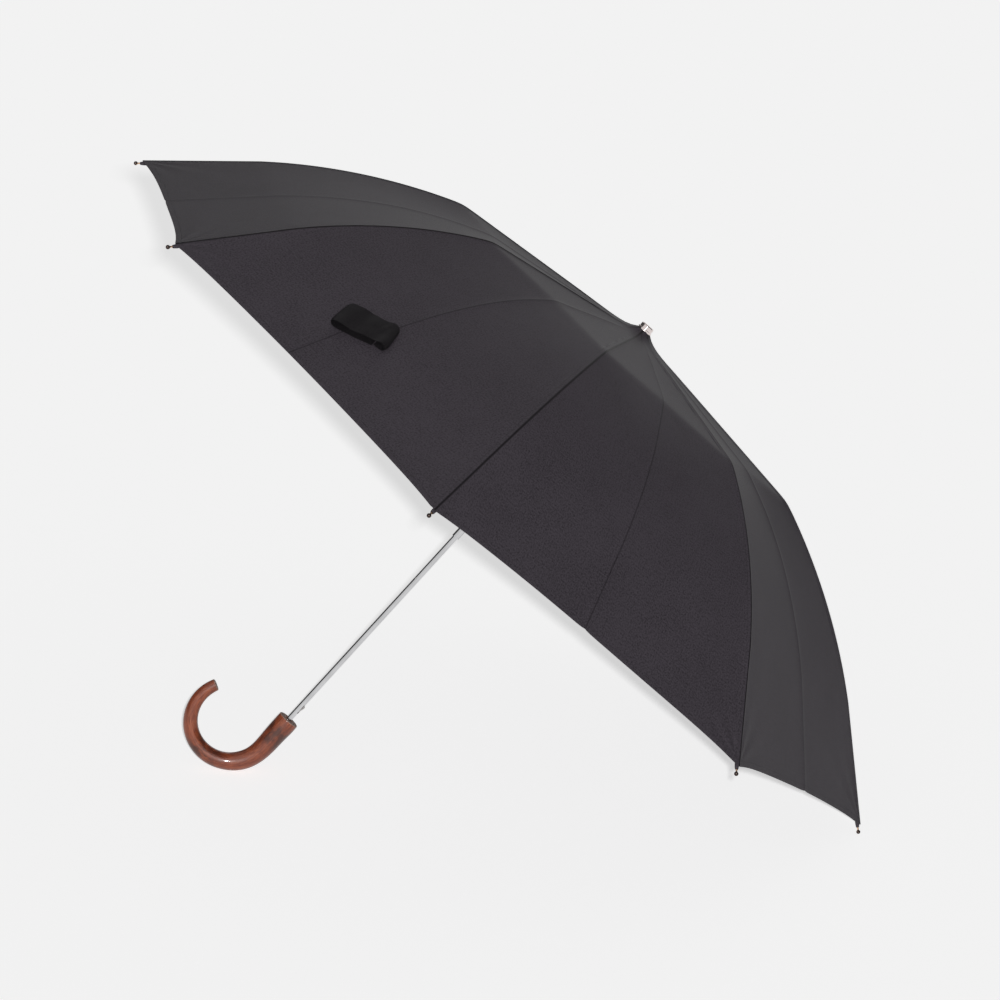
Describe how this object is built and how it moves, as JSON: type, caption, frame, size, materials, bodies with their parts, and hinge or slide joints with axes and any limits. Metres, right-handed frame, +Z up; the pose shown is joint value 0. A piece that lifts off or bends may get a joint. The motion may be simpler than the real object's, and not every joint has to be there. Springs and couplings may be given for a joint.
{
  "type": "folding umbrella",
  "caption": "Open two-section folding umbrella: dark ribbed cloth dome on hinged steel ribs, telescoping chrome shaft and a curved wooden crook handle.",
  "frame": {"origin": "on the floor, under the middle of the bounding box of the umbrella as it rests on two rib tips and its crook", "axes": "+Z up from the floor; +X from the handle towards the two rib tips that touch the floor; the shaft lies in a plane parallel to XZ and rises towards +X"},
  "size_m": [0.7292, 0.9456, 0.6152],
  "materials": {
    "wood": "polished",
    "chrome_steel": "polished",
    "plated_cap": "polished",
    "black_steel": "satin",
    "plated_steel": "satin",
    "brass": "polished",
    "black_plastic": "matte",
    "canopy_fabric": "woven",
    "strap_fabric": "satin"
  },
  "bodies": {
    "handle": {"handle": "wood", "lower_tube": "chrome_steel", "shaft_pins": "plated_steel"},
    "canopy_frame": {"upper_tube": "chrome_steel", "guide_bush": "black_plastic", "crown": "black_plastic", "ferrule_cap": "plated_cap", "canopy": "canopy_fabric", "closing_strap": "strap_fabric"},
    "runner": {"runner": "black_plastic"},
    "runner_latch": {"runner_latch": "plated_steel"},
    "handle_catch": {"handle_catch": "plated_steel"},
    "inner_rib_1": {"inner_rib_1": "black_steel"},
    "stretcher_1": {"stretcher_1": "black_steel"},
    "control_rod_1": {"control_rod_1": "plated_steel"},
    "middle_rib_1": {"middle_rib_1": "black_steel"},
    "outer_rib_1": {"outer_rib_1": "plated_steel", "tip_1": "brass"},
    "inner_rib_2": {"inner_rib_2": "black_steel"},
    "stretcher_2": {"stretcher_2": "black_steel"},
    "control_rod_2": {"control_rod_2": "plated_steel"},
    "middle_rib_2": {"middle_rib_2": "black_steel"},
    "outer_rib_2": {"outer_rib_2": "plated_steel", "tip_2": "brass"},
    "inner_rib_3": {"inner_rib_3": "black_steel"},
    "stretcher_3": {"stretcher_3": "black_steel"},
    "control_rod_3": {"control_rod_3": "plated_steel"},
    "middle_rib_3": {"middle_rib_3": "black_steel"},
    "outer_rib_3": {"outer_rib_3": "plated_steel", "tip_3": "brass"},
    "inner_rib_4": {"inner_rib_4": "black_steel"},
    "stretcher_4": {"stretcher_4": "black_steel"},
    "control_rod_4": {"control_rod_4": "plated_steel"},
    "middle_rib_4": {"middle_rib_4": "black_steel"},
    "outer_rib_4": {"outer_rib_4": "plated_steel", "tip_4": "brass"},
    "inner_rib_5": {"inner_rib_5": "black_steel"},
    "stretcher_5": {"stretcher_5": "black_steel"},
    "control_rod_5": {"control_rod_5": "plated_steel"},
    "middle_rib_5": {"middle_rib_5": "black_steel"},
    "outer_rib_5": {"outer_rib_5": "plated_steel", "tip_5": "brass"},
    "inner_rib_6": {"inner_rib_6": "black_steel"},
    "stretcher_6": {"stretcher_6": "black_steel"},
    "control_rod_6": {"control_rod_6": "plated_steel"},
    "middle_rib_6": {"middle_rib_6": "black_steel"},
    "outer_rib_6": {"outer_rib_6": "plated_steel", "tip_6": "brass"},
    "inner_rib_7": {"inner_rib_7": "black_steel"},
    "stretcher_7": {"stretcher_7": "black_steel"},
    "control_rod_7": {"control_rod_7": "plated_steel"},
    "middle_rib_7": {"middle_rib_7": "black_steel"},
    "outer_rib_7": {"outer_rib_7": "plated_steel", "tip_7": "brass"},
    "inner_rib_8": {"inner_rib_8": "black_steel"},
    "stretcher_8": {"stretcher_8": "black_steel"},
    "control_rod_8": {"control_rod_8": "plated_steel"},
    "middle_rib_8": {"middle_rib_8": "black_steel"},
    "outer_rib_8": {"outer_rib_8": "plated_steel", "tip_8": "brass"}
  },
  "joints": [
    {"name": "shaft_slide", "type": "slide", "parent": "handle", "child": "canopy_frame", "axis": [-0.6378, 0, -0.7702], "range_m": [0, 0.229]},
    {"name": "runner_slide", "type": "slide", "parent": "canopy_frame", "child": "runner", "axis": [-0.6378, 0, -0.7702], "range_m": [0, 0.19345], "deforming": ["canopy", "closing_strap"]},
    {"name": "inner_rib_1_swing", "type": "hinge", "parent": "canopy_frame", "child": "inner_rib_1", "pos_m": [0.14355, 0.00364, 0.46191], "axis": [-0.2947, 0.9239, 0.2441], "range_deg": [0, 81.6]},
    {"name": "stretcher_1_swing", "type": "hinge", "parent": "inner_rib_1", "child": "stretcher_1", "pos_m": [0.22432, 0.05193, 0.37664], "axis": [0.2947, -0.9239, -0.2441], "range_deg": [0, 145]},
    {"name": "control_rod_1_swing", "type": "hinge", "parent": "stretcher_1", "child": "control_rod_1", "pos_m": [0.23404, 0.05646, 0.37124], "axis": [-0.2947, 0.9239, 0.2441], "range_deg": [0, 139.61]},
    {"name": "middle_rib_1_fold", "type": "hinge", "parent": "inner_rib_1", "child": "middle_rib_1", "pos_m": [0.28584, 0.08642, 0.3204], "axis": [0.2947, -0.9239, -0.2441], "range_deg": [0, 197.4]},
    {"name": "outer_rib_1_fold", "type": "hinge", "parent": "middle_rib_1", "child": "outer_rib_1", "pos_m": [0.34379, 0.15614, 0.12646], "axis": [-0.2947, 0.9239, 0.2441], "range_deg": [0, 172.2]},
    {"name": "inner_rib_2_swing", "type": "hinge", "parent": "canopy_frame", "child": "inner_rib_2", "pos_m": [0.13959, 0.00878, 0.46519], "axis": [-0.7116, 0.3827, 0.5893], "range_deg": [0, 81.6]},
    {"name": "stretcher_2_swing", "type": "hinge", "parent": "inner_rib_2", "child": "stretcher_2", "pos_m": [0.16776, 0.12538, 0.42348], "axis": [0.7116, -0.3827, -0.5893], "range_deg": [0, 145]},
    {"name": "control_rod_2_swing", "type": "hinge", "parent": "stretcher_2", "child": "control_rod_2", "pos_m": [0.17254, 0.1363, 0.42216], "axis": [-0.7116, 0.3827, 0.5893], "range_deg": [0, 139.61]},
    {"name": "middle_rib_2_fold", "type": "hinge", "parent": "inner_rib_2", "child": "middle_rib_2", "pos_m": [0.19172, 0.20863, 0.39835], "axis": [0.7116, -0.3827, -0.5893], "range_deg": [0, 197.4]},
    {"name": "outer_rib_2_fold", "type": "hinge", "parent": "middle_rib_2", "child": "outer_rib_2", "pos_m": [0.17372, 0.37696, 0.2673], "axis": [-0.7116, 0.3827, 0.5893], "range_deg": [0, 172.2]},
    {"name": "inner_rib_3_swing", "type": "hinge", "parent": "canopy_frame", "child": "inner_rib_3", "pos_m": [0.13399, 0.00878, 0.46983], "axis": [-0.7116, -0.3827, 0.5893], "range_deg": [0, 81.6]},
    {"name": "stretcher_3_swing", "type": "hinge", "parent": "inner_rib_3", "child": "stretcher_3", "pos_m": [0.08776, 0.12538, 0.48973], "axis": [0.7116, 0.3827, -0.5893], "range_deg": [0, 145]},
    {"name": "control_rod_3_swing", "type": "hinge", "parent": "stretcher_3", "child": "control_rod_3", "pos_m": [0.08557, 0.1363, 0.49419], "axis": [-0.7116, -0.3827, 0.5893], "range_deg": [0, 139.61]},
    {"name": "middle_rib_3_fold", "type": "hinge", "parent": "inner_rib_3", "child": "middle_rib_3", "pos_m": [0.05861, 0.20863, 0.50859], "axis": [0.7116, 0.3827, -0.5893], "range_deg": [0, 197.4]},
    {"name": "outer_rib_3_fold", "type": "hinge", "parent": "middle_rib_3", "child": "outer_rib_3", "pos_m": [-0.06679, 0.37696, 0.46648], "axis": [-0.7116, -0.3827, 0.5893], "range_deg": [0, 172.2]},
    {"name": "inner_rib_4_swing", "type": "hinge", "parent": "canopy_frame", "child": "inner_rib_4", "pos_m": [0.13003, 0.00364, 0.47311], "axis": [-0.2947, -0.9239, 0.2441], "range_deg": [0, 81.6]},
    {"name": "stretcher_4_swing", "type": "hinge", "parent": "inner_rib_4", "child": "stretcher_4", "pos_m": [0.03119, 0.05193, 0.53658], "axis": [0.2947, 0.9239, -0.2441], "range_deg": [0, 145]},
    {"name": "control_rod_4_swing", "type": "hinge", "parent": "stretcher_4", "child": "control_rod_4", "pos_m": [0.02408, 0.05646, 0.54511], "axis": [-0.2947, -0.9239, 0.2441], "range_deg": [0, 139.61]},
    {"name": "middle_rib_4_fold", "type": "hinge", "parent": "inner_rib_4", "child": "middle_rib_4", "pos_m": [-0.03552, 0.08642, 0.58654], "axis": [0.2947, 0.9239, -0.2441], "range_deg": [0, 197.4]},
    {"name": "outer_rib_4_fold", "type": "hinge", "parent": "middle_rib_4", "child": "outer_rib_4", "pos_m": [-0.23686, 0.15614, 0.60733], "axis": [-0.2947, -0.9239, 0.2441], "range_deg": [0, 172.2]},
    {"name": "inner_rib_5_swing", "type": "hinge", "parent": "canopy_frame", "child": "inner_rib_5", "pos_m": [0.13003, -0.00364, 0.47311], "axis": [0.2947, -0.9239, -0.2441], "range_deg": [0, 81.6]},
    {"name": "stretcher_5_swing", "type": "hinge", "parent": "inner_rib_5", "child": "stretcher_5", "pos_m": [0.03119, -0.05193, 0.53658], "axis": [-0.2947, 0.9239, 0.2441], "range_deg": [0, 145]},
    {"name": "control_rod_5_swing", "type": "hinge", "parent": "stretcher_5", "child": "control_rod_5", "pos_m": [0.02408, -0.05646, 0.54511], "axis": [0.2947, -0.9239, -0.2441], "range_deg": [0, 139.61]},
    {"name": "middle_rib_5_fold", "type": "hinge", "parent": "inner_rib_5", "child": "middle_rib_5", "pos_m": [-0.03552, -0.08642, 0.58654], "axis": [-0.2947, 0.9239, 0.2441], "range_deg": [0, 197.4]},
    {"name": "outer_rib_5_fold", "type": "hinge", "parent": "middle_rib_5", "child": "outer_rib_5", "pos_m": [-0.23686, -0.15614, 0.60733], "axis": [0.2947, -0.9239, -0.2441], "range_deg": [0, 172.2]},
    {"name": "inner_rib_6_swing", "type": "hinge", "parent": "canopy_frame", "child": "inner_rib_6", "pos_m": [0.13399, -0.00878, 0.46983], "axis": [0.7116, -0.3827, -0.5893], "range_deg": [0, 81.6]},
    {"name": "stretcher_6_swing", "type": "hinge", "parent": "inner_rib_6", "child": "stretcher_6", "pos_m": [0.08776, -0.12538, 0.48973], "axis": [-0.7116, 0.3827, 0.5893], "range_deg": [0, 145]},
    {"name": "control_rod_6_swing", "type": "hinge", "parent": "stretcher_6", "child": "control_rod_6", "pos_m": [0.08557, -0.1363, 0.49419], "axis": [0.7116, -0.3827, -0.5893], "range_deg": [0, 139.61]},
    {"name": "middle_rib_6_fold", "type": "hinge", "parent": "inner_rib_6", "child": "middle_rib_6", "pos_m": [0.05861, -0.20863, 0.50859], "axis": [-0.7116, 0.3827, 0.5893], "range_deg": [0, 197.4]},
    {"name": "outer_rib_6_fold", "type": "hinge", "parent": "middle_rib_6", "child": "outer_rib_6", "pos_m": [-0.06679, -0.37696, 0.46648], "axis": [0.7116, -0.3827, -0.5893], "range_deg": [0, 172.2]},
    {"name": "inner_rib_7_swing", "type": "hinge", "parent": "canopy_frame", "child": "inner_rib_7", "pos_m": [0.13959, -0.00878, 0.46519], "axis": [0.7116, 0.3827, -0.5893], "range_deg": [0, 81.6]},
    {"name": "stretcher_7_swing", "type": "hinge", "parent": "inner_rib_7", "child": "stretcher_7", "pos_m": [0.16776, -0.12538, 0.42348], "axis": [-0.7116, -0.3827, 0.5893], "range_deg": [0, 145]},
    {"name": "control_rod_7_swing", "type": "hinge", "parent": "stretcher_7", "child": "control_rod_7", "pos_m": [0.17254, -0.1363, 0.42216], "axis": [0.7116, 0.3827, -0.5893], "range_deg": [0, 139.61]},
    {"name": "middle_rib_7_fold", "type": "hinge", "parent": "inner_rib_7", "child": "middle_rib_7", "pos_m": [0.19172, -0.20863, 0.39835], "axis": [-0.7116, -0.3827, 0.5893], "range_deg": [0, 197.4]},
    {"name": "outer_rib_7_fold", "type": "hinge", "parent": "middle_rib_7", "child": "outer_rib_7", "pos_m": [0.17372, -0.37696, 0.2673], "axis": [0.7116, 0.3827, -0.5893], "range_deg": [0, 172.2]},
    {"name": "inner_rib_8_swing", "type": "hinge", "parent": "canopy_frame", "child": "inner_rib_8", "pos_m": [0.14355, -0.00364, 0.46191], "axis": [0.2947, 0.9239, -0.2441], "range_deg": [0, 81.6]},
    {"name": "stretcher_8_swing", "type": "hinge", "parent": "inner_rib_8", "child": "stretcher_8", "pos_m": [0.22432, -0.05193, 0.37664], "axis": [-0.2947, -0.9239, 0.2441], "range_deg": [0, 145]},
    {"name": "control_rod_8_swing", "type": "hinge", "parent": "stretcher_8", "child": "control_rod_8", "pos_m": [0.23404, -0.05646, 0.37124], "axis": [0.2947, 0.9239, -0.2441], "range_deg": [0, 139.61]},
    {"name": "middle_rib_8_fold", "type": "hinge", "parent": "inner_rib_8", "child": "middle_rib_8", "pos_m": [0.28584, -0.08642, 0.3204], "axis": [-0.2947, -0.9239, 0.2441], "range_deg": [0, 197.4]},
    {"name": "outer_rib_8_fold", "type": "hinge", "parent": "middle_rib_8", "child": "outer_rib_8", "pos_m": [0.34379, -0.15614, 0.12646], "axis": [0.2947, 0.9239, -0.2441], "range_deg": [0, 172.2]},
    {"name": "runner_latch_press", "type": "hinge", "parent": "runner", "child": "runner_latch", "pos_m": [0.08943, -0.00509, 0.40234], "axis": [0.5446, 0.7071, -0.451], "range_deg": [0, 8], "stiffness_Nm_per_rad": 0.02},
    {"name": "handle_catch_press", "type": "hinge", "parent": "handle", "child": "handle_catch", "pos_m": [-0.19629, 0, 0.06532], "axis": [-0.5446, -0.7071, 0.451], "range_deg": [0, 9], "stiffness_Nm_per_rad": 0.03}
  ],
  "couplings": [
    {"joint": "inner_rib_1_swing", "follows": "runner_slide", "rad_per_m": 7.3619},
    {"joint": "stretcher_1_swing", "follows": "runner_slide", "rad_per_m": 13.082},
    {"joint": "control_rod_1_swing", "follows": "runner_slide", "rad_per_m": 12.596},
    {"joint": "middle_rib_1_fold", "follows": "runner_slide", "rad_per_m": 17.809},
    {"joint": "outer_rib_1_fold", "follows": "runner_slide", "rad_per_m": 15.536},
    {"joint": "inner_rib_2_swing", "follows": "runner_slide", "rad_per_m": 7.3619},
    {"joint": "stretcher_2_swing", "follows": "runner_slide", "rad_per_m": 13.082},
    {"joint": "control_rod_2_swing", "follows": "runner_slide", "rad_per_m": 12.596},
    {"joint": "middle_rib_2_fold", "follows": "runner_slide", "rad_per_m": 17.809},
    {"joint": "outer_rib_2_fold", "follows": "runner_slide", "rad_per_m": 15.536},
    {"joint": "inner_rib_3_swing", "follows": "runner_slide", "rad_per_m": 7.3619},
    {"joint": "stretcher_3_swing", "follows": "runner_slide", "rad_per_m": 13.082},
    {"joint": "control_rod_3_swing", "follows": "runner_slide", "rad_per_m": 12.596},
    {"joint": "middle_rib_3_fold", "follows": "runner_slide", "rad_per_m": 17.809},
    {"joint": "outer_rib_3_fold", "follows": "runner_slide", "rad_per_m": 15.536},
    {"joint": "inner_rib_4_swing", "follows": "runner_slide", "rad_per_m": 7.3619},
    {"joint": "stretcher_4_swing", "follows": "runner_slide", "rad_per_m": 13.082},
    {"joint": "control_rod_4_swing", "follows": "runner_slide", "rad_per_m": 12.596},
    {"joint": "middle_rib_4_fold", "follows": "runner_slide", "rad_per_m": 17.809},
    {"joint": "outer_rib_4_fold", "follows": "runner_slide", "rad_per_m": 15.536},
    {"joint": "inner_rib_5_swing", "follows": "runner_slide", "rad_per_m": 7.3619},
    {"joint": "stretcher_5_swing", "follows": "runner_slide", "rad_per_m": 13.082},
    {"joint": "control_rod_5_swing", "follows": "runner_slide", "rad_per_m": 12.596},
    {"joint": "middle_rib_5_fold", "follows": "runner_slide", "rad_per_m": 17.809},
    {"joint": "outer_rib_5_fold", "follows": "runner_slide", "rad_per_m": 15.536},
    {"joint": "inner_rib_6_swing", "follows": "runner_slide", "rad_per_m": 7.3619},
    {"joint": "stretcher_6_swing", "follows": "runner_slide", "rad_per_m": 13.082},
    {"joint": "control_rod_6_swing", "follows": "runner_slide", "rad_per_m": 12.596},
    {"joint": "middle_rib_6_fold", "follows": "runner_slide", "rad_per_m": 17.809},
    {"joint": "outer_rib_6_fold", "follows": "runner_slide", "rad_per_m": 15.536},
    {"joint": "inner_rib_7_swing", "follows": "runner_slide", "rad_per_m": 7.3619},
    {"joint": "stretcher_7_swing", "follows": "runner_slide", "rad_per_m": 13.082},
    {"joint": "control_rod_7_swing", "follows": "runner_slide", "rad_per_m": 12.596},
    {"joint": "middle_rib_7_fold", "follows": "runner_slide", "rad_per_m": 17.809},
    {"joint": "outer_rib_7_fold", "follows": "runner_slide", "rad_per_m": 15.536},
    {"joint": "inner_rib_8_swing", "follows": "runner_slide", "rad_per_m": 7.3619},
    {"joint": "stretcher_8_swing", "follows": "runner_slide", "rad_per_m": 13.082},
    {"joint": "control_rod_8_swing", "follows": "runner_slide", "rad_per_m": 12.596},
    {"joint": "middle_rib_8_fold", "follows": "runner_slide", "rad_per_m": 17.809},
    {"joint": "outer_rib_8_fold", "follows": "runner_slide", "rad_per_m": 15.536}
  ]
}
